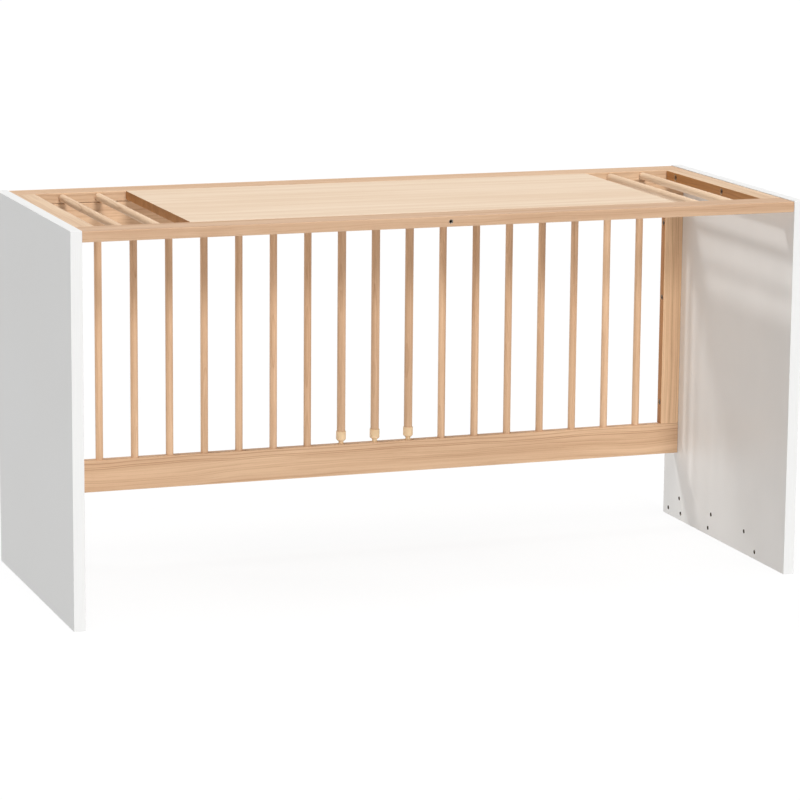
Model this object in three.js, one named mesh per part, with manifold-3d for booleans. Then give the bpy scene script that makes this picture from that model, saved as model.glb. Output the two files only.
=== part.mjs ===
// Cot bed set up as a desk. Two white end panels carry two barred sides of one pattern: the first
// lies flat between the panel tops and holds the worktop board, the second stands behind the
// knees. Three bars of the standing side are sprung slip bars that lift out.
// Millimetres, +Z up, +X along the length, -Y towards the sitter, origin on the floor in the middle.

import * as THREE from 'three';
import { mergeVertices } from 'three/addons/utils/BufferGeometryUtils.js';
import Module from 'manifold-3d';

const wasm = await Module();
wasm.setup();

// Driving dimensions
const innerLength = 1412; // between the end panels
const panel = { thickness: 22, depth: 580, height: 740, easedEdge: 1 };
const side = { height: 577, thickness: 20, railWidth: 64, stileWidth: 40, easedEdge: 2 };
const standingTopRail = 48; // the standing side's upper rail is narrower than the other three
const bars = { count: 18, pitch: 72, diameter: 15, entry: 14, sides: 16 };
const slip = { first: 9, last: 11, diameter: 17, entry: 12, lift: 13, springRoom: 11 };
const slipFoot = { diameter: 20, height: 20, chamfer: 3, socket: 14, pinDiameter: 11, neck: 6.5, pinEntry: 9 };
const spring = { diameter: 12, wire: 1.2, turns: 6, stepsPerTurn: 8 };
const board = { length: 970, thickness: 17, shadowGap: 1, easedEdge: 0.8 };
const boardPin = { diameter: 8, length: 34, places: [-400, 0, 400] };
const bolt = { headDiameter: 11, headHeight: 6, socket: 5, socketDepth: 3.5, shank: 6, entry: 11, recess: 2 };
const boltsBelowTop = [90, 246, 468]; // down each stile, from the side's upper edge
const insert = { hole: 8, depth: 12.5, bore: 6.2, length: 12 };
const tenon = { width: 24, thickness: 8, length: 15 };
const spareHoles = [ // left open in each end panel: distance from the front edge, height
  [133, 15], [355, 15], [492, 15], [554, 15],
  [184, 46], [342, 46], [500, 46],
];
const topInset = 1.5; // wood below the panel tops
const frontInset = 1.5; // wood behind the panel edges, front and back
const seatGap = 0.5; // between the flat side and the standing one
const gap = 0.3; // fit gap between neighbouring pieces

// Worked out from those
const middle = side.thickness / 2;
const stileEdge = innerLength / 2 - side.stileWidth; // inner edge of a stile
const firstBar = -(bars.count - 1) * bars.pitch / 2;
const worktopBottom = panel.height - topInset - side.thickness;
const rearBottom = worktopBottom - seatGap - side.height;
const rearFace = panel.depth / 2 - frontInset - side.railWidth;

const beech = { color: '#dfc09a', roughness: 0.55, metalness: 0 };
const whiteCoat = { color: '#f1f0ee', roughness: 0.45, metalness: 0 };
const beigePlastic = { color: '#e6d6b8', roughness: 0.4, metalness: 0 };
const steel = { color: '#8d8f92', roughness: 0.35, metalness: 0.9 };

// Meshes and cuts

function piece(name, geometry, finish) {
  const mesh = new THREE.Mesh(geometry, new THREE.MeshStandardMaterial(finish));
  mesh.name = name;
  return mesh;
}

function toSolid(geometry) {
  const bare = geometry.clone();
  bare.deleteAttribute('normal');
  bare.deleteAttribute('uv');
  const merged = mergeVertices(bare, 1e-4);
  const vertProperties = new Float32Array(merged.attributes.position.array);
  const triVerts = new Uint32Array(merged.index.array);
  return new wasm.Manifold(new wasm.Mesh({ numProp: 3, vertProperties, triVerts }));
}

function toGeometry(solid) {
  const { vertProperties, triVerts } = solid.getMesh();
  const geometry = new THREE.BufferGeometry();
  geometry.setAttribute('position', new THREE.BufferAttribute(vertProperties, 3));
  geometry.setIndex(new THREE.BufferAttribute(triVerts, 1));
  geometry.computeVertexNormals();
  return geometry;
}

function cut(geometry, cutters) {
  const solid = cutters.reduce((left, cutter) => left.subtract(toSolid(cutter)), toSolid(geometry));
  return toGeometry(solid);
}

function join(geometry, others) {
  const solid = others.reduce((whole, other) => whole.add(toSolid(other)), toSolid(geometry));
  return toGeometry(solid);
}

// A round rod or hole from one point to another
function rod(diameter, start, end, sides = bars.sides) {
  const from = new THREE.Vector3(...start);
  const along = new THREE.Vector3(...end).sub(from);
  const turn = new THREE.Quaternion();
  turn.setFromUnitVectors(new THREE.Vector3(0, 1, 0), along.clone().normalize());
  const geometry = new THREE.CylinderGeometry(diameter / 2, diameter / 2, along.length(), sides);
  geometry.translate(0, along.length() / 2, 0);
  return geometry.applyQuaternion(turn).translate(from.x, from.y, from.z);
}

// A board with rounded long edges: length along X, thickness along Y, width along Z, centred
function easedBoard(length, thickness, width, radius) {
  const x = width / 2 - radius;
  const y = thickness / 2 - radius;
  const section = new THREE.Shape();
  section.absarc(x, y, radius, 0, Math.PI / 2);
  section.absarc(-x, y, radius, Math.PI / 2, Math.PI);
  section.absarc(-x, -y, radius, Math.PI, 1.5 * Math.PI);
  section.absarc(x, -y, radius, 1.5 * Math.PI, 2 * Math.PI);
  const options = { depth: length, bevelEnabled: false, curveSegments: 1 };
  const geometry = new THREE.ExtrudeGeometry(section, options);
  return geometry.translate(0, 0, -length / 2).rotateY(Math.PI / 2);
}

// Places along a side

function barPlace(number) {
  return firstBar + (number - 1) * bars.pitch;
}

function isSlipBar(number) {
  return number >= slip.first && number <= slip.last;
}

function boltHeights() {
  return boltsBelowTop.map((drop) => side.height - drop);
}

// End panels: coated board with blind holes for the bolts in use and for the spare positions

function panelHole(hand, y, z) {
  const face = hand * innerLength / 2;
  return rod(insert.hole, [face - hand, y, z], [face + hand * insert.depth, y, z], 12);
}

function endPanel(hand) {
  const { thickness, depth, height, easedEdge } = panel;
  const outline = new THREE.Shape();
  outline.moveTo(-depth / 2, 0);
  outline.lineTo(depth / 2, 0);
  outline.lineTo(depth / 2, height);
  outline.lineTo(-depth / 2, height);
  outline.closePath();
  const geometry = new THREE.ExtrudeGeometry(outline, {
    depth: thickness - 2 * easedEdge,
    bevelThickness: easedEdge,
    bevelSize: easedEdge,
    bevelOffset: -easedEdge,
    bevelSegments: 1,
  });
  geometry.translate(0, 0, easedEdge - thickness / 2);
  geometry.rotateX(Math.PI / 2).rotateZ(Math.PI / 2);
  geometry.translate(hand * (innerLength + thickness) / 2, 0, 0);

  const spare = spareHoles.map(([back, z]) => panelHole(hand, back - depth / 2, z));
  const standing = boltHeights().map((z) => panelHole(hand, rearFace + middle, rearBottom + z));
  const backEdge = depth / 2 - frontInset;
  const flat = boltHeights().map((y) => panelHole(hand, backEdge - y, worktopBottom + middle));
  return cut(geometry, [...spare, ...standing, ...flat]);
}

// Barred side, built standing: lower rail at z = 0, front face at y = 0

function rail(z, width, cutters) {
  const geometry = easedBoard(innerLength - 2 * gap, side.thickness, width, side.easedEdge);
  return cut(geometry.translate(0, middle, z + width / 2), cutters);
}

// Mortises for the two stiles; edge is the rail's inner edge, into is -1 downwards, 1 upwards
function mortises(edge, into) {
  const { width, thickness, length } = tenon;
  const depth = length + gap;
  return [-1, 1].map((hand) => {
    const slot = new THREE.BoxGeometry(width + 2 * gap, thickness + 2 * gap, depth + 1);
    const x = hand * (stileEdge + side.stileWidth / 2);
    return slot.translate(x, middle, edge + into * (depth - 1) / 2);
  });
}

function barHole(number, edge, into) {
  const x = barPlace(number);
  let diameter = bars.diameter + 2 * gap;
  let depth = bars.entry;
  if (isSlipBar(number)) {
    const isUpper = into > 0;
    diameter = (isUpper ? slip.diameter : slipFoot.pinDiameter) + 3 * gap;
    depth = isUpper ? slip.entry + slip.lift + slip.springRoom : slipFoot.pinEntry + 1;
  }
  return rod(diameter, [x, middle, edge - into], [x, middle, edge + into * depth]);
}

function stile(hand, topRail) {
  const length = side.height - side.railWidth - topRail - 2 * gap;
  const x = hand * (stileEdge + (side.stileWidth - gap) / 2);
  const z = side.railWidth + gap + length / 2;
  const geometry = easedBoard(length, side.thickness, side.stileWidth - gap, side.easedEdge);
  geometry.rotateY(Math.PI / 2).translate(x, middle, z);
  const tenons = new THREE.BoxGeometry(tenon.width, tenon.thickness, length + 2 * tenon.length);
  tenons.translate(hand * (stileEdge + side.stileWidth / 2), middle, z);

  const holes = boltHeights().flatMap((height) => {
    const inner = hand * stileEdge;
    const outer = hand * (innerLength / 2 + 1);
    const seat = inner + hand * (bolt.recess + bolt.headHeight);
    return [
      rod(bolt.shank + 1, [inner - hand, middle, height], [outer, middle, height], 12),
      rod(bolt.headDiameter + 1, [inner - hand, middle, height], [seat, middle, height]),
    ];
  });
  return cut(join(geometry, [tenons]), holes);
}

// Connector bolt: round head with a hexagon socket, through the stile into the end panel
function connectorBolt(hand, height) {
  const inner = hand * (stileEdge + bolt.recess);
  const seat = inner + hand * (bolt.headHeight - gap);
  const tip = hand * (innerLength / 2 + bolt.entry);
  const socketDiameter = bolt.socket / Math.cos(Math.PI / 6);
  const head = rod(bolt.headDiameter, [inner, middle, height], [seat, middle, height]);
  const shank = rod(bolt.shank, [seat - hand, middle, height], [tip, middle, height], 12);
  const socketFloor = inner + hand * bolt.socketDepth;
  const socket = rod(socketDiameter, [inner - hand, middle, height], [socketFloor, middle, height], 6);
  return cut(join(head, [shank]), [socket]);
}

function fixedBar(number, topRail) {
  const x = barPlace(number);
  const reach = bars.entry - gap;
  const low = side.railWidth - reach;
  const high = side.height - topRail + reach;
  return rod(bars.diameter, [x, middle, low], [x, middle, high]);
}

function addFrame(group, names, barNumbers, extraCuts = { lower: [], upper: [] }) {
  const lowEdge = side.railWidth;
  const highEdge = side.height - names.topRail;
  const lowerCuts = [...mortises(lowEdge, -1), ...barNumbers.map((n) => barHole(n, lowEdge, -1))];
  const upperCuts = [...mortises(highEdge, 1), ...barNumbers.map((n) => barHole(n, highEdge, 1))];
  group.add(piece(names.lowerRail, rail(0, side.railWidth, [...lowerCuts, ...extraCuts.lower]), beech));
  group.add(piece(names.upperRail, rail(highEdge, names.topRail, [...upperCuts, ...extraCuts.upper]), beech));
  for (const [word, hand] of [['left', -1], ['right', 1]]) {
    group.add(piece(`${names.prefix}_${word}_stile`, stile(hand, names.topRail), beech));
    boltHeights().forEach((height, index) => {
      const name = `${names.prefix}_${word}_bolt_${index + 1}`;
      group.add(piece(name, connectorBolt(hand, height), steel));
    });
  }
  for (const number of barNumbers.filter((n) => names.prefix === 'desk' || !isSlipBar(n))) {
    const name = `${names.prefix}_bar_${String(number).padStart(2, '0')}`;
    group.add(piece(name, fixedBar(number, names.topRail), beech));
  }
}

// Slip bar: lifts against a spring in the upper rail until the pin of its foot leaves the lower one

class Helix extends THREE.Curve {
  constructor(radius, height, turns) {
    super();
    Object.assign(this, { radius, height, turns });
  }

  getPoint(t, target = new THREE.Vector3()) {
    const angle = 2 * Math.PI * this.turns * t;
    return target.set(this.radius * Math.cos(angle), this.radius * Math.sin(angle), this.height * t);
  }
}

function slipBarBase() {
  const { neck, height, socket } = slipFoot;
  return side.railWidth + neck + height - socket + gap;
}

function slipBar(number) {
  const x = barPlace(number);
  const top = side.height - standingTopRail + slip.entry;
  return rod(slip.diameter, [x, middle, slipBarBase()], [x, middle, top]);
}

// Plastic foot: a cup round the end of the bar, over a pin that stands in the lower rail
function slipBarFoot(number) {
  const { diameter, height, chamfer, socket, pinDiameter, neck, pinEntry } = slipFoot;
  const outer = diameter / 2;
  const pin = pinDiameter / 2;
  const bore = slip.diameter / 2 + gap;
  const profile = [
    [0, -pinEntry], [pin - 1, -pinEntry], [pin, 1 - pinEntry], [pin, neck],
    [outer - chamfer, neck], [outer, neck + chamfer], [outer, neck + height],
    [bore, neck + height], [bore, neck + height - socket], [0, neck + height - socket],
  ].map(([r, z]) => new THREE.Vector2(r, z));
  const geometry = new THREE.LatheGeometry(profile, 16).rotateX(Math.PI / 2);
  return geometry.translate(barPlace(number), middle, side.railWidth);
}

function slipSpring(number) {
  const { diameter, wire, turns, stepsPerTurn } = spring;
  const room = slip.lift + slip.springRoom - 2 * gap;
  const helix = new Helix((diameter - wire) / 2, room - 2 * wire, turns);
  const section = new THREE.Shape().absarc(0, 0, wire / 2, 0, 2 * Math.PI);
  const geometry = new THREE.ExtrudeGeometry(section, {
    steps: turns * stepsPerTurn,
    curveSegments: 3,
    bevelEnabled: false,
    extrudePath: helix,
  });
  const base = side.height - standingTopRail + slip.entry + gap + wire;
  return geometry.translate(barPlace(number), middle, base);
}

// Assembly

const cot = new THREE.Group();
cot.add(piece('left_end_panel', endPanel(-1), whiteCoat));
cot.add(piece('right_end_panel', endPanel(1), whiteCoat));

const allBars = Array.from({ length: bars.count }, (_, index) => index + 1);
const rearSide = new THREE.Group();
rearSide.position.set(0, rearFace, rearBottom);
cot.add(rearSide);
const rearNames = {
  prefix: 'rear',
  lowerRail: 'rear_lower_rail',
  upperRail: 'rear_upper_rail',
  topRail: standingTopRail,
};
addFrame(rearSide, rearNames, allBars);
for (const number of allBars.filter(isSlipBar)) {
  const label = String(number).padStart(2, '0');
  rearSide.add(piece(`slip_bar_${label}`, slipBar(number), beech));
  rearSide.add(piece(`slip_foot_${label}`, slipBarFoot(number), beigePlastic));
  rearSide.add(piece(`slip_spring_${label}`, slipSpring(number), steel));
}

// The flat side: the same frame laid down with its lower rail at the back, only its outermost
// bars kept, and the worktop board pinned between the rails, its face flush with theirs
const worktop = new THREE.Group();
worktop.rotation.x = Math.PI / 2;
worktop.position.set(0, panel.depth / 2 - frontInset, worktopBottom);
cot.add(worktop);

const boardMiddle = side.thickness - board.thickness / 2;
const boardWidth = side.height - 2 * side.railWidth - 2 * board.shadowGap;
const pinEdges = [side.railWidth, side.height - side.railWidth];

function pinHoles(edge) {
  const reach = boardPin.length / 2 + gap;
  return boardPin.places.map((x) => rod(
    boardPin.diameter + 2 * gap,
    [x, boardMiddle, edge - reach],
    [x, boardMiddle, edge + reach],
    12,
  ));
}

const insertHole = rod(
  insert.hole + 2 * gap,
  [0, middle, side.height + 1],
  [0, middle, side.height - insert.depth],
);
const deskNames = {
  prefix: 'desk',
  lowerRail: 'desk_back_rail',
  upperRail: 'desk_front_rail',
  topRail: side.railWidth,
};
const outerBars = [1, 2, bars.count - 1, bars.count];
addFrame(worktop, deskNames, outerBars, {
  lower: pinHoles(pinEdges[0]),
  upper: [...pinHoles(pinEdges[1]), insertHole],
});

const boardBlank = easedBoard(board.length, board.thickness, boardWidth, board.easedEdge);
boardBlank.translate(0, boardMiddle, side.height / 2);
const worktopBoard = cut(boardBlank, pinEdges.flatMap(pinHoles));
worktop.add(piece('desk_board', worktopBoard, beech));

pinEdges.forEach((edge, row) => {
  boardPin.places.forEach((x, index) => {
    const half = boardPin.length / 2;
    const pin = rod(boardPin.diameter, [x, boardMiddle, edge - half], [x, boardMiddle, edge + half], 12);
    worktop.add(piece(`board_pin_${row * boardPin.places.length + index + 1}`, pin, beech));
  });
});

// Threaded insert in the middle of the front rail's edge, open to the front
const insertTop = side.height - gap;
const insertSleeve = cut(
  rod(insert.hole, [0, middle, insertTop - insert.length + 1], [0, middle, insertTop]),
  [rod(insert.bore, [0, middle, insertTop - insert.length + 2], [0, middle, insertTop + 1])],
);
worktop.add(piece('front_rail_insert', insertSleeve, steel));

export default cot;
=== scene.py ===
import math

import bmesh
import bpy
from mathutils import Matrix, Quaternion, Vector


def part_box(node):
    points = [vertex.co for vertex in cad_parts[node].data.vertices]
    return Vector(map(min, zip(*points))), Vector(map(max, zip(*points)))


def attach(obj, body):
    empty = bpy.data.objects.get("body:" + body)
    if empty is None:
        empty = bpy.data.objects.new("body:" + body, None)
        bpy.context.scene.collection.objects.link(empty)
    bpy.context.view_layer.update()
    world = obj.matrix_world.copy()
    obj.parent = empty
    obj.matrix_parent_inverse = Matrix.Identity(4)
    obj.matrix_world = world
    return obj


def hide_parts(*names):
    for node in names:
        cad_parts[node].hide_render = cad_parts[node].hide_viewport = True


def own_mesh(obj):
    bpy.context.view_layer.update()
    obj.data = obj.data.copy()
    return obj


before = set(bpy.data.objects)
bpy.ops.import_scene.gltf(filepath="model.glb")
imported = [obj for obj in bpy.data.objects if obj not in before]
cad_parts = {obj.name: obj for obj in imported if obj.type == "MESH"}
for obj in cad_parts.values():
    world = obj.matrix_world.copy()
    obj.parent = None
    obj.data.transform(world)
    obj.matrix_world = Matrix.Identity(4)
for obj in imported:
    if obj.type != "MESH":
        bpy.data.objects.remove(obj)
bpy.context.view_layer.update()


# --- End panels ---------------------------------------------------------------------------
# Two standing boards of chipboard with a white melamine skin on both faces. A plastic band
# is glued round all four edges and eased, and the inner face is bored for the insert nuts.

band_thickness = 0.0010
band_easing = 0.0008
skin_easing = 0.00012
nut_hole_radius = 0.0040
nut_hole_depth = 0.0125
hole_edge = 0.0002
hole_sides = 32
bolt_numbers = (1, 2, 3)
ends = (("left", Vector((1, 0, 0))), ("right", Vector((-1, 0, 0))))
spare_nut_places = [
    # distance from the panel's front edge, height above the floor
    (0.133, 0.015),
    (0.355, 0.015),
    (0.492, 0.015),
    (0.554, 0.015),
    (0.184, 0.046),
    (0.342, 0.046),
    (0.500, 0.046),
]


def sawn_block(low, high):
    """A square-edged block between two opposite corners."""
    bm = bmesh.new()
    place = Matrix.Translation((low + high) / 2) @ Matrix.Diagonal((*(high - low), 1))
    bmesh.ops.create_cube(bm, size=1, matrix=place)
    return bm


def ease(bm, edges, radius, steps):
    """Rounds edges over to a radius."""
    bmesh.ops.bevel(
        bm,
        geom=edges,
        offset=radius,
        segments=steps,
        profile=0.5,
        affect="EDGES",
        material=-1,
    )


def flat_face(bm, facing):
    """The largest flat face that looks along a direction."""
    bm.normal_update()
    alike = [f for f in bm.faces if f.normal.dot(facing) > 0.999]
    return max(alike, key=lambda f: f.calc_area())


def ring_edges(points):
    """The edges between a ring's points, each once."""
    edges = dict.fromkeys(e for point in points for e in point.link_edges)
    return [e for e in edges if e.verts[0] in points and e.verts[1] in points]


def bore(bm, facing, holes, lining=0):
    """Blind round holes in the flat face that looks along facing.

    A hole is its centre, radius and depth. Its mouth has a small broken edge, and lining is
    the number of the finish inside.
    """
    facing = Vector(facing)
    face = flat_face(bm, facing)
    level = face.calc_center_median().dot(facing)
    outline = list(face.edges)
    bmesh.ops.delete(bm, geom=[face], context="FACES_ONLY")
    turn = facing.to_track_quat("Z", "Y").to_matrix().to_4x4()
    mouths = []
    for centre, radius, depth in holes:
        mouth = centre + facing * (level - centre.dot(facing))
        circle = bmesh.ops.create_circle(
            bm,
            segments=hole_sides,
            radius=radius + hole_edge,
            matrix=Matrix.Translation(mouth) @ turn,
        )
        mouths.append((mouth, ring_edges(circle["verts"]), radius, depth))
    rims = [e for mouth in mouths for e in mouth[1]]
    bmesh.ops.triangle_fill(bm, edges=outline + rims, use_beauty=True, normal=facing)
    for mouth, rim, radius, depth in mouths:
        narrowing = radius / (radius + hole_edge)
        for shrink, sink in ((narrowing, hole_edge), (1.0, depth - hole_edge)):
            made = bmesh.ops.extrude_edge_only(bm, edges=rim)["geom"]
            ring = [g for g in made if isinstance(g, bmesh.types.BMVert)]
            rim = ring_edges(ring)
            bmesh.ops.scale(
                bm, vec=(shrink,) * 3, space=Matrix.Translation(-mouth), verts=ring
            )
            bmesh.ops.translate(bm, vec=-facing * sink, verts=ring)
            walls = [g for g in made if isinstance(g, bmesh.types.BMFace)]
            for wall in walls:
                wall.material_index = lining
        for end in bmesh.ops.contextual_create(bm, geom=rim)["faces"]:
            end.material_index = lining
    bmesh.ops.recalc_face_normals(bm, faces=bm.faces)


def hand_over(name, bm, finishes, slot, body, *stands_for):
    """Makes the finished piece, which rides on its body in place of the CAD nodes."""
    mesh = bpy.data.meshes.new(name)
    bm.to_mesh(mesh)
    bm.free()
    for finish in finishes:
        mesh.materials.append(finish)
    mesh.shade_smooth()
    mesh.set_sharp_from_angle(angle=math.radians(40))
    piece = bpy.data.objects.new(name, mesh)
    bpy.context.scene.collection.objects.link(piece)
    even = piece.modifiers.new("even_normals", "WEIGHTED_NORMAL")
    even.weight = 100
    even.keep_sharp = True
    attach(piece, body)
    if stands_for:
        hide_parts(*stands_for)
    return piece


def feed(tree, socket, value):
    """Gives a socket a number, a colour or another node's output."""
    if isinstance(value, bpy.types.NodeSocket):
        tree.links.new(value, socket)
    else:
        socket.default_value = value


def node(tree, kind, options=None, **sockets):
    """A shader node with its options set and its named sockets fed."""
    made = tree.nodes.new("ShaderNode" + kind)
    for option, value in (options or {}).items():
        setattr(made, option, value)
    for socket, value in sockets.items():
        feed(tree, made.inputs[socket.replace("_", " ")], value)
    return made


def maths(tree, operation, *values):
    """The result of one arithmetic step between numbers or outputs."""
    made = tree.nodes.new("ShaderNodeMath")
    made.operation = operation
    for target, value in zip(made.inputs, values):
        feed(tree, target, value)
    return made.outputs["Value"]


def vectors(tree, operation, *values):
    """The result of one vector step between vectors or outputs."""
    made = tree.nodes.new("ShaderNodeVectorMath")
    made.operation = operation
    for target, value in zip(made.inputs, values):
        feed(tree, target, value)
    return made.outputs["Vector"]


def spread(tree, value, from_low, from_high, to_low, to_high):
    """Stretches a value's range to another, with soft ends."""
    made = node(tree, "MapRange", {"interpolation_type": "SMOOTHSTEP"}, Value=value)
    limits = (from_low, from_high, to_low, to_high)
    for socket, limit in zip(("From Min", "From Max", "To Min", "To Max"), limits):
        made.inputs[socket].default_value = limit
    return made.outputs["Result"]


def cloud(tree, place, scale, detail=2.0, roughness=0.5):
    """Soft random patches from 0 to 1."""
    made = node(
        tree,
        "TexNoise",
        Vector=place,
        Scale=scale,
        Detail=detail,
        Roughness=roughness,
    )
    return made.outputs["Fac"]


def tint(tree, share, first, second):
    """A colour between two, by a share from 0 to 1."""
    made = tree.nodes.new("ShaderNodeMix")
    made.data_type = "RGBA"
    feed(tree, made.inputs[0], share)
    feed(tree, made.inputs[6], first)
    feed(tree, made.inputs[7], second)
    return made.outputs[2]


def new_finish(name, **constants):
    """An empty finish: its tree, its shader and its object coordinates."""
    finish = bpy.data.materials.new(name)
    finish.use_nodes = True
    tree = finish.node_tree
    shader = tree.nodes["Principled BSDF"]
    for socket, value in constants.items():
        shader.inputs[socket.replace("_", " ")].default_value = value
    place = tree.nodes.new("ShaderNodeTexCoord").outputs["Object"]
    return finish, tree, shader, place


def worn_edges(tree, place, low, high, width):
    """1 on a block's edges, falling to 0 a little way in, and patchy along them."""
    from_middle = vectors(tree, "SUBTRACT", place, (low + high) / 2)
    to_faces = vectors(
        tree, "SUBTRACT", (high - low) / 2, vectors(tree, "ABSOLUTE", from_middle)
    )
    split = node(tree, "SeparateXYZ", Vector=to_faces).outputs
    nearer = maths(tree, "MINIMUM", split[0], split[1])
    farther = maths(tree, "MAXIMUM", split[0], split[1])
    second = maths(tree, "MAXIMUM", nearer, maths(tree, "MINIMUM", farther, split[2]))
    edge = spread(tree, second, 0.0, width, 1.0, 0.0)
    patches = spread(tree, cloud(tree, place, 45.0, 3.0), 0.35, 0.65, 0.35, 1.0)
    return maths(tree, "MULTIPLY", edge, patches)


def rough_and_bump(tree, shader, rough, height, strength, distance):
    """Joins a roughness and a relief to the shader."""
    tree.links.new(rough, shader.inputs["Roughness"])
    relief = node(tree, "Bump", Height=height, Strength=strength, Distance=distance)
    tree.links.new(relief.outputs["Normal"], shader.inputs["Normal"])


def melamine(name, low, high, painted_shade_sides, clean, worn, painted_shade_outer):
    """White melamine skin: pearl texture, faint clouds, dulled edges, painted shade on the outer
    face.

    The argument after the corners is the share of the painted-shade grey on the low and on the
    high side along X.
    """
    finish, tree, shader, place = new_finish(name, Specular_IOR_Level=0.42)
    clouds = cloud(tree, place, 5.0, 3.0)
    pearl = cloud(tree, place, 900.0, 2.0)
    wear = worn_edges(tree, place, low, high, 0.004)
    share = spread(tree, clouds, 0.3, 0.7, 0.0, 0.35)
    share = maths(tree, "ADD", share, maths(tree, "MULTIPLY", wear, 0.5))
    across = node(tree, "SeparateXYZ", Vector=place).outputs["X"]
    middle = (low.x + high.x) / 2
    # The outer face gets the greyer colour: painted shade, not a different skin.
    painted_shade_share = spread(tree, across, middle - 0.001, middle + 0.001, *painted_shade_sides)
    faces = tint(tree, painted_shade_share, clean, painted_shade_outer)
    tree.links.new(tint(tree, share, faces, worn), shader.inputs["Base Color"])
    rough = spread(tree, clouds, 0.3, 0.7, 0.36, 0.44)
    rough = maths(tree, "ADD", rough, maths(tree, "MULTIPLY", pearl, 0.06))
    rough_and_bump(tree, shader, rough, pearl, 0.10, 0.0002)
    return finish


def edge_band(name):
    """White plastic edging: a little smoother than the skin, with fine lengthwise drag marks."""
    finish, tree, shader, place = new_finish(name, Specular_IOR_Level=0.45)
    drag = cloud(tree, vectors(tree, "MULTIPLY", place, (900.0, 14.0, 14.0)), 1.0, 3.0)
    share = spread(tree, drag, 0.3, 0.7, 0.0, 1.0)
    tree.links.new(
        tint(tree, share, (0.790, 0.788, 0.780, 1), (0.765, 0.763, 0.753, 1)),
        shader.inputs["Base Color"],
    )
    rough_and_bump(tree, shader, spread(tree, drag, 0.3, 0.7, 0.28, 0.38), drag, 0.08, 0.0001)
    return finish


def chipboard(name):
    """The core inside a drilled hole: chips of wood in glue, darkened nearly black as painted
    shade.
    """
    finish, tree, shader, place = new_finish(name, Specular_IOR_Level=0.2)
    chips = node(tree, "TexVoronoi", Vector=place, Scale=1100.0)
    share = spread(tree, chips.outputs["Distance"], 0.1, 0.7, 0.0, 1.0)
    tree.links.new(
        tint(tree, share, (0.110, 0.078, 0.050, 1), (0.045, 0.030, 0.018, 1)),
        shader.inputs["Base Color"],
    )
    rough_and_bump(tree, shader, spread(tree, share, 0.0, 1.0, 0.8, 0.95), share, 0.6, 0.0003)
    return finish


band_finish = edge_band("white_edge_band")
# The hole linings are painted nearly black: painted shade inside the holes.
chipboard_painted_shade = chipboard("chipboard_painted_shade")
for side, inward in ends:
    panel = f"{side}_end_panel"
    low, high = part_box(panel)
    rim = Vector((0, band_thickness, band_thickness))

    core = sawn_block(low + rim, high - rim)
    ease(core, core.edges[:], skin_easing, 1)
    places = [(low.y + from_front, height) for from_front, height in spare_nut_places]
    for group in ("rear", "desk"):
        for n in bolt_numbers:
            bolt_low, bolt_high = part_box(f"{group}_{side}_bolt_{n}")
            middle = (bolt_low + bolt_high) / 2
            places.append((middle.y, middle.z))
    bore(
        core,
        inward,
        [(Vector((0, y, z)), nut_hole_radius, nut_hole_depth) for y, z in places],
        lining=1,
    )
    skin = melamine(
        f"white_{side}_panel",
        low,
        high,
        # The outer face's colour below is painted shade, a shade greyer than the inner white.
        painted_shade_sides=(1.0, 0.0) if side == "left" else (0.0, 1.0),
        clean=(0.830, 0.824, 0.808, 1),
        worn=(0.750, 0.746, 0.732, 1),
        painted_shade_outer=(0.690, 0.690, 0.682, 1),
    )
    hand_over(f"{side}_panel_board", core, [skin, chipboard_painted_shade], "white_coat", "frame", panel)

    band = sawn_block(low, high)
    ease(band, band.edges[:], band_easing, 3)
    faces = [flat_face(band, inward), flat_face(band, -inward)]
    bmesh.ops.inset_individual(
        band, faces=faces, thickness=band_thickness - band_easing, use_even_offset=True
    )
    openings = [list(f.edges) for f in faces]
    bmesh.ops.delete(band, geom=faces, context="FACES_ONLY")
    bmesh.ops.bridge_loops(band, edges=openings[0] + openings[1])
    bmesh.ops.recalc_face_normals(band, faces=band.faces)
    hand_over(f"{side}_panel_edge_band", band, [band_finish], "white_coat", "frame")


# --- Spare insert nuts --------------------------------------------------------------------
# Zinc-plated screw-in nuts near the foot of each panel, which take the bolts when the panels
# and sides are put together as a cot. Each is a threaded sleeve with a thin collar.

nut_sink = 0.0022
nut_gap = 0.0001
nut_bore = 0.0027
nut_thread = 0.0031
nut_pitch = 0.0010
nut_turns = 10
nut_collar_width = 0.0004
nut_collar_height = 0.0014
nut_tip = 0.0006
nut_floor = 0.0012
nut_mouth_easing = 0.0003
nut_thread_start = 0.0005
nut_end_gap = 0.0002
nut_sides = 24


def turned(profile, steps):
    """A solid turned about Z from (radius, height) points that start and end on the axis."""
    bm = bmesh.new()
    points = [bm.verts.new((radius, 0, height)) for radius, height in profile]
    edges = [bm.edges.new(pair) for pair in zip(points, points[1:])]
    bmesh.ops.spin(
        bm,
        geom=points + edges,
        cent=(0, 0, 0),
        axis=(0, 0, 1),
        angle=math.tau,
        steps=steps,
        use_merge=True,
    )
    bmesh.ops.remove_doubles(bm, verts=bm.verts, dist=1e-7)
    bmesh.ops.recalc_face_normals(bm, faces=bm.faces)
    return bm


def stand(bm, place, facing):
    """Moves a piece made along Z to its place and turns it to look along facing."""
    turn = facing.to_track_quat("Z", "Y").to_matrix().to_4x4()
    bmesh.ops.transform(bm, matrix=Matrix.Translation(place) @ turn, verts=bm.verts)


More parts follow.
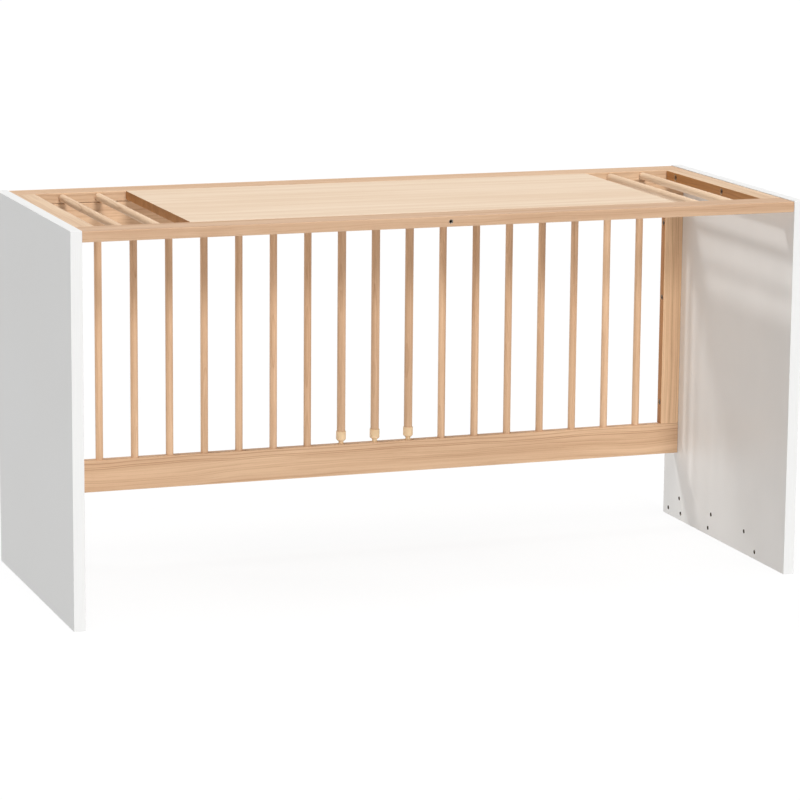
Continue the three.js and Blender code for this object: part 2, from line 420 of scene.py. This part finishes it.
def plated(name, bright, dull, scale):
    """Zinc plating: grey metal with slightly cloudy shine and fine scratches."""
    finish, tree, shader, place = new_finish(name, Metallic=1.0)
    clouds = cloud(tree, place, scale, 3.0)
    scratches = cloud(tree, vectors(tree, "MULTIPLY", place, (400.0, 2600.0, 2600.0)), 1.0, 2.0)
    share = spread(tree, clouds, 0.3, 0.7, 0.0, 1.0)
    tree.links.new(tint(tree, share, bright, dull), shader.inputs["Base Color"])
    rough = spread(tree, clouds, 0.3, 0.7, 0.24, 0.38)
    rough = maths(tree, "ADD", rough, maths(tree, "MULTIPLY", scratches, 0.1))
    rough_and_bump(tree, shader, rough, scratches, 0.15, 0.00005)
    return finish


def insert_nut(length, radius):
    """A sleeve with its mouth at height 0 and its body below, threaded inside."""
    body = radius - nut_collar_width
    profile = [
        (0, -length),
        (body - nut_tip, -length),
        (body, -length + nut_tip),
        (body, -nut_collar_height),
        (radius, -nut_collar_height),
        (radius, 0),
        (nut_thread + nut_mouth_easing, 0),
    ]
    for n in range(nut_turns):
        top = -nut_thread_start - n * nut_pitch
        profile.append((nut_bore, top - nut_pitch * 0.25))
        profile.append((nut_thread, top - nut_pitch * 0.75))
    profile += [(nut_bore, -length + nut_floor), (0, -length + nut_floor)]
    return turned(profile, nut_sides)


nut_zinc = plated("zinc_insert_nut", (0.42, 0.40, 0.36, 1), (0.16, 0.15, 0.13, 1), 300.0)
for side, inward in ends:
    low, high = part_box(f"{side}_end_panel")
    inner = high.x if side == "left" else low.x
    for n, (from_front, height) in enumerate(spare_nut_places, 1):
        nut = insert_nut(nut_hole_depth - nut_sink - nut_end_gap, nut_hole_radius - nut_gap)
        mouth = Vector((inner, low.y + from_front, height)) - inward * nut_sink
        stand(nut, mouth, inward)
        hand_over(f"{side}_spare_nut_{n}", nut, [nut_zinc], "zinc_steel", "frame")


# --- Rails --------------------------------------------------------------------------------
# Four planed beech rails, two to each barred side. Their long edges are rounded, the ends are
# sawn square, and the narrow inner edge is bored for the bars that are glued in.

rail_rounding = 0.0020
bored_edge_easing = 0.0008
end_easing = 0.0004
glue_gap = 0.0001
spring_head_gap = 0.0003
bar_hole_depth = 0.0142
slip_hole_radius = 0.00895
slip_pin_hole_radius = 0.00595
slip_pin_hole_depth = 0.0100
slip_bar_numbers = (9, 10, 11)
rear_bar_numbers = [n for n in range(1, 19) if n not in slip_bar_numbers]
desk_bar_numbers = (1, 2, 17, 18)
board_pin_numbers = (1, 2, 3, 4, 5, 6)
grain_turns = {"X": (0, 0, 0), "Y": (0, 0, -math.pi / 2), "Z": (0, math.pi / 2, 0)}


def drift(tree, place, stretch, amount):
    """A soft random push across the grain."""
    stretched = vectors(tree, "MULTIPLY", place, stretch)
    noise = node(tree, "TexNoise", Vector=stretched, Scale=1.0, Detail=2.0)
    push = vectors(tree, "SUBTRACT", noise.outputs["Color"], (0.5, 0.5, 0.5))
    return vectors(tree, "MULTIPLY", push, (0, amount, amount))


def beech(
    name,
    grain,
    heart,
    light,
    dark,
    tilt,
    rings,
    lines,
    block=None,
    painted_shade_axis=None,
    dark_rings=(),
):
    """Lacquered beech: year rings round a heart line, long streaks and short dark flecks.

    The grain runs along the named axis. heart is where the middle of the tree lies beside
    the piece, and tilt turns it a little, so that the year rings run out in long curves.
    rings is the width of a year and lines the strength of its edge. The edges of a block,
    given by its low and high corner, are worn lighter. Sawn ends show a browner colour for
    the end grain, and faces that look along the named side axis take the same brown as painted
    shade. dark_rings are the heights of a few strong rings that wander along the front.
    """
    finish, tree, shader, place = new_finish(
        name, Specular_IOR_Level=0.34, Coat_Weight=0.04, Coat_Roughness=0.45
    )
    turn = Vector(grain_turns[grain]) + Vector((0, tilt[0], tilt[1]))
    laid = node(tree, "Mapping", Vector=place, Rotation=turn, Location=(0, *heart))
    laid = laid.outputs["Vector"]
    sway = drift(tree, laid, (3.2, 9.0, 9.0), 0.022)
    shiver = drift(tree, laid, (22.0, 90.0, 90.0), 0.0016)
    grown = vectors(tree, "ADD", vectors(tree, "ADD", laid, sway), shiver)

    across = vectors(tree, "MULTIPLY", grown, (0, 1, 1))
    reach = node(tree, "VectorMath", {"operation": "LENGTH"}, Vector=across).outputs["Value"]
    year = maths(tree, "DIVIDE", reach, rings)
    season = maths(tree, "FRACT", year)
    late_wood = maths(tree, "POWER", season, 3.0)
    early_fade = spread(tree, season, 0.90, 1.0, 1.0, 0.0)
    whole_year = maths(tree, "FLOOR", year)
    which = node(tree, "TexWhiteNoise", {"noise_dimensions": "1D"}, W=whole_year)
    strength = spread(tree, which.outputs["Value"], 0.1, 1.0, 0.12, 1.0)
    ring = maths(tree, "MULTIPLY", maths(tree, "MULTIPLY", late_wood, early_fade), strength)

    streaks = cloud(tree, vectors(tree, "MULTIPLY", grown, (2.5, 320.0, 320.0)), 1.0, 3.0, 0.6)
    bands = cloud(tree, vectors(tree, "MULTIPLY", grown, (1.4, 42.0, 42.0)), 1.0, 2.0)
    flecks = cloud(tree, vectors(tree, "MULTIPLY", laid, (170.0, 2300.0, 2300.0)), 1.0, 1.0)
    flecks = spread(tree, flecks, 0.62, 0.72, 0.0, 1.0)

    depth = maths(tree, "MULTIPLY", ring, lines)
    if dark_rings:
        wander = cloud(tree, vectors(tree, "MULTIPLY", place, (4.5, 0, 0)), 1.0, 1.0)
        strayed = maths(tree, "MULTIPLY", maths(tree, "SUBTRACT", wander, 0.5), 0.016)
        level = node(tree, "SeparateXYZ", Vector=place).outputs["Z"]
        level = maths(tree, "ADD", level, strayed)
        for height in dark_rings:
            away = maths(tree, "ABSOLUTE", maths(tree, "SUBTRACT", level, height))
            depth = maths(tree, "ADD", depth, spread(tree, away, 0.0002, 0.0013, 0.50, 0.0))
    depth = maths(tree, "ADD", depth, spread(tree, streaks, 0.25, 0.75, 0.0, 0.30))
    depth = maths(tree, "ADD", depth, spread(tree, bands, 0.25, 0.75, 0.0, 0.32))
    depth = maths(tree, "ADD", depth, maths(tree, "MULTIPLY", flecks, 0.16))
    if block:
        wear = worn_edges(tree, place, block[0], block[1], 0.0035)
        depth = maths(tree, "SUBTRACT", depth, maths(tree, "MULTIPLY", wear, 0.12))
    colour = tint(tree, depth, light, dark)

    normal = tree.nodes["Texture Coordinate"].outputs["Normal"]
    looks = node(tree, "SeparateXYZ", Vector=normal).outputs
    end_grain_and_painted_shade = spread(tree, maths(tree, "ABSOLUTE", looks[grain]), 0.75, 0.95, 0.0, 1.0)
    # Faces along this axis get the brown too: painted shade, not end grain.
    if painted_shade_axis:
        painted_shade_facing = maths(tree, "ABSOLUTE", looks[painted_shade_axis])
        end_grain_and_painted_shade = maths(tree, "MAXIMUM", end_grain_and_painted_shade, spread(tree, painted_shade_facing, 0.75, 0.95, 0.0, 1.0))
    end_grain_and_shade_brown = tint(tree, depth, (0.550, 0.250, 0.080, 1), (0.290, 0.115, 0.036, 1))
    tree.links.new(tint(tree, end_grain_and_painted_shade, colour, end_grain_and_shade_brown), shader.inputs["Base Color"])

    rough = spread(tree, bands, 0.25, 0.75, 0.52, 0.62)
    relief = maths(tree, "SUBTRACT", bands, maths(tree, "MULTIPLY", ring, 0.3))
    rough_and_bump(tree, shader, rough, relief, 0.10, 0.00012)
    return finish


def planed_piece(low, high, along, rounding, square_side=None):
    """A block with its long edges rounded and its two ends only eased.

    The edges next to square_side are broken a little instead, where wide bores leave no room.
    """
    bm = sawn_block(low, high)
    long_edges = [e for e in bm.edges if abs((e.verts[0].co - e.verts[1].co)[along]) > 1e-6]
    if square_side:
        side = flat_face(bm, square_side)
        kept = [e for e in long_edges if e in side.edges[:]]
        long_edges = [e for e in long_edges if e not in kept]
        ease(bm, kept, bored_edge_easing, 2)
        long_edges = [e for e in long_edges if e.is_valid]
    ease(bm, long_edges, rounding, 4)
    end = Vector()
    end[along] = 1
    end_edges = list(flat_face(bm, end).edges) + list(flat_face(bm, -end).edges)
    ease(bm, end_edges, end_easing, 1)
    return bm


def bar_mouths(names, radius, depth):
    """Bore places for round pieces, at the middle of each one's box."""
    holes = []
    for name in names:
        low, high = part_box(name)
        holes.append(((low + high) / 2, radius, depth))
    return holes


rear_bars = [f"rear_bar_{n:02d}" for n in rear_bar_numbers]
desk_bars = [f"desk_bar_{n:02d}" for n in desk_bar_numbers]
slip_bars = [f"slip_bar_{n:02d}" for n in slip_bar_numbers]
bar_low, bar_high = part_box(rear_bars[0])
bar_radius = (bar_high.x - bar_low.x) / 2
bar_hole = bar_radius + glue_gap
pin_low, pin_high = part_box("board_pin_1")
pin_hole = (pin_high.x - pin_low.x) / 2 + glue_gap
pin_hole_depth = (pin_high.y - pin_low.y) / 2

rail_light = (0.735, 0.500, 0.317, 1)
# The front rail's beech is painted darker than the other rails' to hold back the strong front
# light on it: painted shade.
front_rail_painted_shade_tone = (0.650, 0.438, 0.282, 1)
rail_dark = (0.430, 0.235, 0.125, 1)

low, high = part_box("rear_lower_rail")
lower_rail = planed_piece(low, high, 0, rail_rounding)
bore(
    lower_rail,
    (0, 0, 1),
    bar_mouths(rear_bars, bar_hole, bar_hole_depth)
    + bar_mouths(slip_bars, slip_pin_hole_radius, slip_pin_hole_depth),
)
lower_rail_beech = beech(
    "beech_lower_rail",
    "X",
    (-0.060, -0.520),
    rail_light,
    rail_dark,
    tilt=(0.004, 0.003),
    rings=0.0036,
    lines=0.50,
    block=(low, high),
    dark_rings=(0.2000, 0.1925, 0.1890),
)
hand_over("lower_rail", lower_rail, [lower_rail_beech], "beech_rail", "frame", "rear_lower_rail")

low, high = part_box("rear_upper_rail")
slip_hole_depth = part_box("slip_spring_09")[1].z - low.z + spring_head_gap
upper_rail = planed_piece(low, high, 0, rail_rounding, Vector((0, 0, -1)))
bore(
    upper_rail,
    (0, 0, -1),
    bar_mouths(rear_bars, bar_hole, bar_hole_depth)
    + bar_mouths(slip_bars, slip_hole_radius, slip_hole_depth),
)
upper_rail_beech = beech(
    "beech_upper_rail",
    "X",
    (-0.080, -0.600),
    rail_light,
    rail_dark,
    tilt=(-0.006, 0.004),
    rings=0.0034,
    lines=0.55,
    block=(low, high),
)
hand_over("upper_rail", upper_rail, [upper_rail_beech], "beech_rail", "frame", "rear_upper_rail")

for name, facing, heart in (
    ("desk_front_rail", Vector((0, 1, 0)), (0.330, -0.640)),
    ("desk_back_rail", Vector((0, -1, 0)), (-0.180, -0.760)),
):
    low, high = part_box(name)
    rail = planed_piece(low, high, 0, rail_rounding)
    pins = []
    for n in board_pin_numbers:
        pin_low, pin_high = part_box(f"board_pin_{n}")
        if low.y < pin_high.y and pin_low.y < high.y:
            pins.append(((pin_low + pin_high) / 2, pin_hole, pin_hole_depth))
    bore(rail, facing, bar_mouths(desk_bars, bar_hole, bar_hole_depth) + pins)
    if name == "desk_front_rail":
        nut_low, nut_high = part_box("front_rail_insert")
        nut_place = (nut_low + nut_high) / 2
        bore(rail, (0, -1, 0), [(nut_place, nut_hole_radius, nut_hole_depth)])
    rail_beech = beech(
        f"beech_{name}",
        "X",
        heart,
        front_rail_painted_shade_tone if name == "desk_front_rail" else rail_light,
        rail_dark,
        tilt=(0.004, -0.005),
        rings=0.0038,
        lines=0.50,
        block=(low, high),
    )
    hand_over(name + "_planed", rail, [rail_beech], "beech_rail", "frame", name)


# --- Stiles -------------------------------------------------------------------------------
# Short beech uprights that close both ends of a barred side. Each is tenoned into the rails
# and has three counterbored holes in its inner edge for the bolts into the end panel.

counterbore_radius = 0.0060
counterbore_depth = 0.0080
tenon_length = 0.0150
stile_seat = 0.0002

for group, along in (("rear", 2), ("desk", 1)):
    for side, inward in ends:
        name = f"{group}_{side}_stile"
        low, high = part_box(name)
        low[along] += tenon_length
        high[along] -= tenon_length
        seat = low if side == "left" else high
        seat.x -= inward.x * stile_seat
        stile = planed_piece(low, high, along, rail_rounding, -inward)
        bolts = [f"{group}_{side}_bolt_{n}" for n in bolt_numbers]
        bore(stile, inward, bar_mouths(bolts, counterbore_radius, counterbore_depth))
        heart = (0.35 if side == "left" else -0.42, 0.25)
        stile_beech = beech(
            f"beech_{name}",
            "Z" if group == "rear" else "Y",
            heart,
            # The rear stiles' colour is painted paler than the rails' to make up for light they
            # miss: painted light.
            (0.880, 0.608, 0.380, 1) if group == "rear" else (0.800, 0.595, 0.405, 1),
            rail_dark,
            tilt=(0.006, 0.008),
            rings=0.0042,
            lines=0.55,
            block=(low, high),
            # The stiles' X-facing edges take the dark brown as painted shade.
            painted_shade_axis="X",
        )
        hand_over(name + "_planed", stile, [stile_beech], "beech_rail", "frame", name)


# --- Bolts --------------------------------------------------------------------------------
# Twelve zinc-plated bolts with a round head and a hexagon socket. They sit sunk in the
# stiles' inner edges and screw into the insert nuts of the end panels.

bolt_head_radius = 0.0055
bolt_head_height = 0.0060
bolt_edge = 0.0006
bolt_shank_radius = 0.0030
bolt_tip_taper = 0.0008
bolt_tip_height = 0.0006
bolt_thread_depth = 0.00045
bolt_thread_pitch = 0.0010
bolt_thread_length = 0.0200
socket_across_flats = 0.0050
socket_depth = 0.0035
socket_mouth_radius = 0.0032
socket_mouth_drop = 0.0003
bolt_sides = 24


def socket_bolt(length):
    """A bolt with the top of its head at height 0 and its threaded shank below."""
    head_foot = -bolt_head_height
    thread_start = -length + bolt_thread_length
    profile = [(0, -length), (bolt_shank_radius - bolt_tip_taper, -length)]
    turns = int(bolt_thread_length / bolt_thread_pitch)
    for n in range(turns):
        height = -length + bolt_tip_height + n * bolt_thread_pitch
        profile.append((bolt_shank_radius, height))
        profile.append((bolt_shank_radius - bolt_thread_depth, height + bolt_thread_pitch / 2))
    profile += [
        (bolt_shank_radius, thread_start + bolt_thread_pitch),
        (bolt_shank_radius, head_foot),
        (bolt_head_radius, head_foot),
        (bolt_head_radius, -bolt_edge),
        (bolt_head_radius - bolt_edge, 0),
        (socket_mouth_radius, 0),
    ]
    bm = turned(profile, bolt_sides)
    mouth = [e for e in bm.edges if e.is_boundary]
    hexagon = bmesh.ops.create_circle(
        bm,
        segments=6,
        radius=socket_across_flats / math.sqrt(3),
        matrix=Matrix.Translation((0, 0, -socket_mouth_drop)),
    )
    hexagon_edges = ring_edges(hexagon["verts"])
    bmesh.ops.bridge_loops(bm, edges=mouth + hexagon_edges)
    walls = bmesh.ops.extrude_edge_only(bm, edges=hexagon_edges)["geom"]
    ring = [g for g in walls if isinstance(g, bmesh.types.BMVert)]
    bmesh.ops.translate(bm, vec=(0, 0, -socket_depth), verts=ring)
    bmesh.ops.contextual_create(bm, geom=ring_edges(ring))
    bmesh.ops.recalc_face_normals(bm, faces=bm.faces)
    return bm


bolt_zinc = plated("zinc_bolt", (0.40, 0.40, 0.39, 1), (0.15, 0.15, 0.15, 1), 220.0)
for group in ("rear", "desk"):
    for side, inward in ends:
        for n in bolt_numbers:
            name = f"{group}_{side}_bolt_{n}"
            low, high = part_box(name)
            bolt = socket_bolt(high.x - low.x)
            head_top = (low + high) / 2
            head_top.x = high.x if side == "left" else low.x
            stand(bolt, head_top, inward)
            hand_over(name + "_plated", bolt, [bolt_zinc], "zinc_steel", "frame", name)


# --- Fixed bars ---------------------------------------------------------------------------
# Round beech bars glued into both rails of a side: fifteen in the standing side, and two at
# each end of the flat side. They are turned, sanded, and chamfered at both ends.

bar_chamfer = 0.0009
bar_sides = 32


def round_bar(low, high, along):
    """A chamfered round bar that fills a box from end to end."""
    size = high - low
    length = size[along]
    radius = max(size[(along + 1) % 3], size[(along + 2) % 3]) / 2
    bar = turned(
        [
            (0, -length / 2),
            (radius - bar_chamfer, -length / 2),
            (radius, -length / 2 + bar_chamfer),
            (radius, length / 2 - bar_chamfer),
            (radius - bar_chamfer, length / 2),
            (0, length / 2),
        ],
        bar_sides,
    )
    facing = Vector()
    facing[along] = 1
    stand(bar, (low + high) / 2, facing)
    return bar


rear_bar_beech = beech(
    "beech_rear_bars",
    "Z",
    (0.210, -0.330),
    (0.790, 0.538, 0.345, 1),
    (0.420, 0.232, 0.122, 1),
    tilt=(0.004, 0.006),
    rings=0.0030,
    lines=0.50,
)
for name in rear_bars:
    bar = round_bar(*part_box(name), 2)
    hand_over(name + "_turned", bar, [rear_bar_beech], "beech_bar", "frame", name)

desk_bar_beech = beech(
    "beech_desk_bars",
    "Y",
    (0.350, -0.500),
    # These bars are painted paler than the other bars to stand in for light falling on them:
    # painted light.
    (0.900, 0.680, 0.475, 1),
    (0.520, 0.315, 0.180, 1),
    tilt=(0.004, 0.006),
    rings=0.0030,
    lines=0.50,
)
for name in desk_bars:
    bar = round_bar(*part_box(name), 1)
    hand_over(name + "_turned", bar, [desk_bar_beech], "beech_bar", "frame", name)


# --- Worktop board ------------------------------------------------------------------------
# A planed board of pale beech between the rails of the flat side, level with their tops. Its
# edges are eased, and three pins in each long edge carry it.

board_easing = 0.0008

low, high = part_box("desk_board")
board = planed_piece(low, high, 0, board_easing)
for facing in (Vector((0, 1, 0)), Vector((0, -1, 0))):
    edge = high.y if facing.y > 0 else low.y
    holes = []
    for n in board_pin_numbers:
        pin_low, pin_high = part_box(f"board_pin_{n}")
        if pin_low.y < edge < pin_high.y:
            holes.append(((pin_low + pin_high) / 2, pin_hole, pin_hole_depth))
    bore(board, facing, holes)
board_beech = beech(
    "beech_worktop",
    "X",
    (0.120, -0.900),
    (0.815, 0.660, 0.500, 1),
    (0.620, 0.420, 0.265, 1),
    tilt=(0.003, 0.002),
    rings=0.0060,
    lines=0.30,
    block=(low, high),
)
hand_over("worktop_board", board, [board_beech], "beech_board", "frame", "desk_board")


# --- Board pins ---------------------------------------------------------------------------
# Six short fluted beech pins, three to each long edge of the worktop board. Half of a pin is
# glued in the board's edge and half in the rail beside it.

pin_flutes = 20
flute_depth = 0.0003
pin_chamfer = 0.0010


def fluted_pin(low, high):
    """A pin along Y with lengthwise flutes and chamfered ends."""
    radius = (high.x - low.x) / 2
    half = (high.y - low.y) / 2
    grow = radius / (radius - pin_chamfer)
    bm = bmesh.new()
    ring = bmesh.ops.create_circle(
        bm,
        segments=2 * pin_flutes,
        radius=radius - pin_chamfer,
        matrix=Matrix.Rotation(math.pi / 2, 4, "X"),
    )["verts"]
    bmesh.ops.scale(bm, vec=(1 - flute_depth / radius,) * 3, verts=ring[::2])
    bmesh.ops.translate(bm, vec=(0, -half, 0), verts=ring)
    steps = ((pin_chamfer, grow), (2 * (half - pin_chamfer), 1.0), (pin_chamfer, 1 / grow))
    for forward, wider in steps:
        made = bmesh.ops.extrude_edge_only(bm, edges=ring_edges(ring))["geom"]
        ring = [g for g in made if isinstance(g, bmesh.types.BMVert)]
        bmesh.ops.scale(bm, vec=(wider, 1, wider), verts=ring)
        bmesh.ops.translate(bm, vec=(0, forward, 0), verts=ring)
    bmesh.ops.holes_fill(bm, edges=[e for e in bm.edges if e.is_boundary])
    bmesh.ops.recalc_face_normals(bm, faces=bm.faces)
    bmesh.ops.translate(bm, vec=(low + high) / 2, verts=bm.verts)
    return bm


pin_beech = beech(
    "beech_pins",
    "Y",
    (0.200, -0.400),
    (0.740, 0.505, 0.325, 1),
    rail_dark,
    tilt=(0.004, 0.006),
    rings=0.0030,
    lines=0.50,
)
for n in board_pin_numbers:
    name = f"board_pin_{n}"
    pin = fluted_pin(*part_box(name))
    hand_over(name + "_fluted", pin, [pin_beech], "beech_pin", "frame", name)


# --- Front rail insert --------------------------------------------------------------------
# A zinc-plated threaded sleeve like the panels' insert nuts, screwed into a blind hole in the
# middle of the front rail's outer edge.

low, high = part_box("front_rail_insert")
sleeve = insert_nut(high.y - low.y, (high.x - low.x) / 2)
mouth = (low + high) / 2
mouth.y = low.y
stand(sleeve, mouth, Vector((0, -1, 0)))
hand_over("front_rail_nut", sleeve, [nut_zinc], "zinc_steel", "frame", "front_rail_insert")


# --- Slip bars ----------------------------------------------------------------------------
# Three thicker beech bars that a parent can take out. Each stands in a plastic foot, and its
# top runs in a deep hole in the upper rail against a spring.

foot_pin_radius = 0.0055
foot_pin_easing = 0.0010
foot_pin_below_cup = 0.0050
foot_neck_below_cup = 0.0040
foot_neck_radius = 0.0051
foot_cup_height = 0.0155
foot_taper = 0.0030
foot_mouth_easing = 0.0006
foot_socket_gap = 0.0002
foot_sides = 40


def moulded(name, pale, deep):
    """Beige moulded plastic: even and satin, with a fine spark-eroded texture."""
    finish, tree, shader, place = new_finish(
        name, Subsurface_Weight=0.05, Specular_IOR_Level=0.45
    )
    shader.inputs["Subsurface Scale"].default_value = 0.001
    flow = cloud(tree, place, 60.0, 2.0)
    texture = cloud(tree, place, 2600.0, 2.0)
    tree.links.new(
        tint(tree, spread(tree, flow, 0.3, 0.7, 0.0, 1.0), pale, deep),
        shader.inputs["Base Color"],
    )
    rough = spread(tree, texture, 0.3, 0.7, 0.38, 0.50)
    rough_and_bump(tree, shader, rough, texture, 0.12, 0.00006)
    return finish


slip_bar_beech = beech(
    "beech_slip_bars",
    "Z",
    (0.260, -0.300),
    (0.725, 0.495, 0.320, 1),
    (0.400, 0.225, 0.120, 1),
    tilt=(0.004, 0.006),
    rings=0.0030,
    lines=0.50,
)
foot_plastic = moulded("beige_plastic_foot", (0.800, 0.590, 0.365, 1), (0.730, 0.520, 0.305, 1))


def foot_profile(low, high, socket_floor, socket_radius):
    """The outline of a cup for the bar's end, tapered below, with a neck and a pin."""
    radius = (high.x - low.x) / 2
    cup_floor = low.z + foot_cup_height
    return [
        (0, low.z),
        (foot_pin_radius - foot_pin_easing, low.z),
        (foot_pin_radius, low.z + foot_pin_easing),
        (foot_pin_radius, cup_floor - foot_pin_below_cup),
        (foot_neck_radius, cup_floor - foot_neck_below_cup),
        (foot_neck_radius, cup_floor),
        (radius - foot_taper, cup_floor),
        (radius, cup_floor + foot_taper),
        (radius, high.z - foot_mouth_easing),
        (radius - foot_mouth_easing, high.z),
        (socket_radius, high.z),
        (socket_radius, socket_floor),
        (0, socket_floor),
    ]


for n in slip_bar_numbers:
    bar_name = f"slip_bar_{n:02d}"
    foot_name = f"slip_foot_{n:02d}"
    body = f"slip_unit_{n:02d}"
    low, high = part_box(bar_name)
    bar = round_bar(low, high, 2)
    hand_over(bar_name + "_turned", bar, [slip_bar_beech], "beech_bar", body, bar_name)
    foot_low, foot_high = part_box(foot_name)
    socket_floor = low.z - foot_socket_gap
    socket_radius = (high.x - low.x) / 2 + glue_gap
    foot = turned(foot_profile(foot_low, foot_high, socket_floor, socket_radius), foot_sides)
    middle = (foot_low + foot_high) / 2
    bmesh.ops.translate(foot, vec=(middle.x, middle.y, 0), verts=foot.verts)
    hand_over(foot_name + "_moulded", foot, [foot_plastic], "beige_plastic", body, foot_name)


# --- Springs ------------------------------------------------------------------------------
# A coil of hard-drawn wire above each slip bar, in the deep hole of the upper rail. It holds
# the foot's pin down in the lower rail and is pressed together as the bar is lifted.

spring_turns = 6
spring_steps = 20
wire_radius = 0.0006
wire_sides = 10

spring_steel = plated("spring_steel", (0.50, 0.50, 0.50, 1), (0.32, 0.32, 0.32, 1), 180.0)
for n in slip_bar_numbers:
    name = f"slip_spring_{n:02d}"
    low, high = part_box(name)
    middle = (low + high) / 2
    coil_radius = (high.x - low.x) / 2 - wire_radius
    rise = (high.z - low.z - 2 * wire_radius) / (spring_turns * spring_steps)
    spring = bmesh.new()
    start = Matrix.Translation((middle.x + coil_radius, middle.y, low.z + wire_radius))
    section = bmesh.ops.create_circle(
        spring,
        segments=wire_sides,
        radius=wire_radius,
        matrix=start @ Matrix.Rotation(math.pi / 2, 4, "X"),
    )["verts"]
    bmesh.ops.spin(
        spring,
        geom=section + ring_edges(section),
        cent=(middle.x, middle.y, 0),
        axis=(0, 0, 1),
        dvec=(0, 0, rise),
        angle=math.tau * spring_turns,
        steps=spring_turns * spring_steps,
        use_merge=False,
    )
    bmesh.ops.holes_fill(spring, edges=[e for e in spring.edges if e.is_boundary])
    bmesh.ops.recalc_face_normals(spring, faces=spring.faces)
    coil = hand_over(name + "_wound", spring, [spring_steel], "spring_steel", "frame", name)
    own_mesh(coil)


# --- Stage --------------------------------------------------------------------------------
# A plain, nearly white studio floor that runs far out on every side, four soft lights from
# far away, and the camera at about eye height.

floor_reach = 60.0
floor = bmesh.new()
bmesh.ops.create_grid(floor, x_segments=1, y_segments=1, size=floor_reach)
floor_mesh = bpy.data.meshes.new("studio_floor")
floor.to_mesh(floor_mesh)
floor.free()
floor_paint, tree, shader, place = new_finish("studio_floor_paint", Roughness=1.0)
shader.inputs["Base Color"].default_value = (0.10, 0.10, 0.10, 1)
shader.inputs["Specular IOR Level"].default_value = 0.0
shader.inputs["Emission Color"].default_value = (1, 1, 1, 1)
shader.inputs["Emission Strength"].default_value = 0.90
floor_mesh.materials.append(floor_paint)
studio_floor = bpy.data.objects.new("studio_floor", floor_mesh)
bpy.context.scene.collection.objects.link(studio_floor)

studio = bpy.data.worlds.new("studio_light")
studio.use_nodes = True
bpy.context.scene.world = studio
studio.node_tree.nodes["Background"].inputs["Color"].default_value = (1, 1, 1, 1)
studio.node_tree.nodes["Background"].inputs["Strength"].default_value = 0.06


def soft_sun(name, comes_from, strength, spread_degrees):
    """A soft light from far away, wider with its spread."""
    light = bpy.data.lights.new(name, "SUN")
    light.energy = strength
    light.angle = math.radians(spread_degrees)
    lamp = bpy.data.objects.new(name, light)
    lamp.rotation_mode = "QUATERNION"
    lamp.rotation_quaternion = Vector(comes_from).to_track_quat("Z", "Y")
    bpy.context.scene.collection.objects.link(lamp)


soft_sun("front_softbox", (0.02, -0.934, 0.365), 1.55, 11)
soft_sun("overhead_softbox", (0.02, -0.20, 1.0), 2.40, 44)
soft_sun("backdrop_glow", (0.34, 0.94, 0.20), 0.30, 40)
soft_sun("rear_left_softbox", (-1.0, 0.6, 1.05), 0.88, 7)

view_target = Vector((0.0058, 0.0, 0.3363))
view_distance = 6.743
view_yaw = math.radians(19.81)
view_pitch = math.radians(11.06)
view_roll = math.radians(0.489)
ahead = Vector(
    (
        math.sin(view_yaw) * math.cos(view_pitch),
        math.cos(view_yaw) * math.cos(view_pitch),
        -math.sin(view_pitch),
    )
)
camera_data = bpy.data.cameras.new("camera")
camera_data.lens = 154.92
camera_data.sensor_width = 36.0
camera_data.clip_end = 200.0
camera = bpy.data.objects.new("camera", camera_data)
camera.rotation_mode = "QUATERNION"
camera.location = view_target - ahead * view_distance
upright = (-ahead).to_track_quat("Z", "Y")
camera.rotation_quaternion = upright @ Quaternion((0, 0, 1), view_roll)
bpy.context.scene.collection.objects.link(camera)
bpy.context.scene.camera = camera
bpy.context.scene.view_settings.view_transform = "Standard"
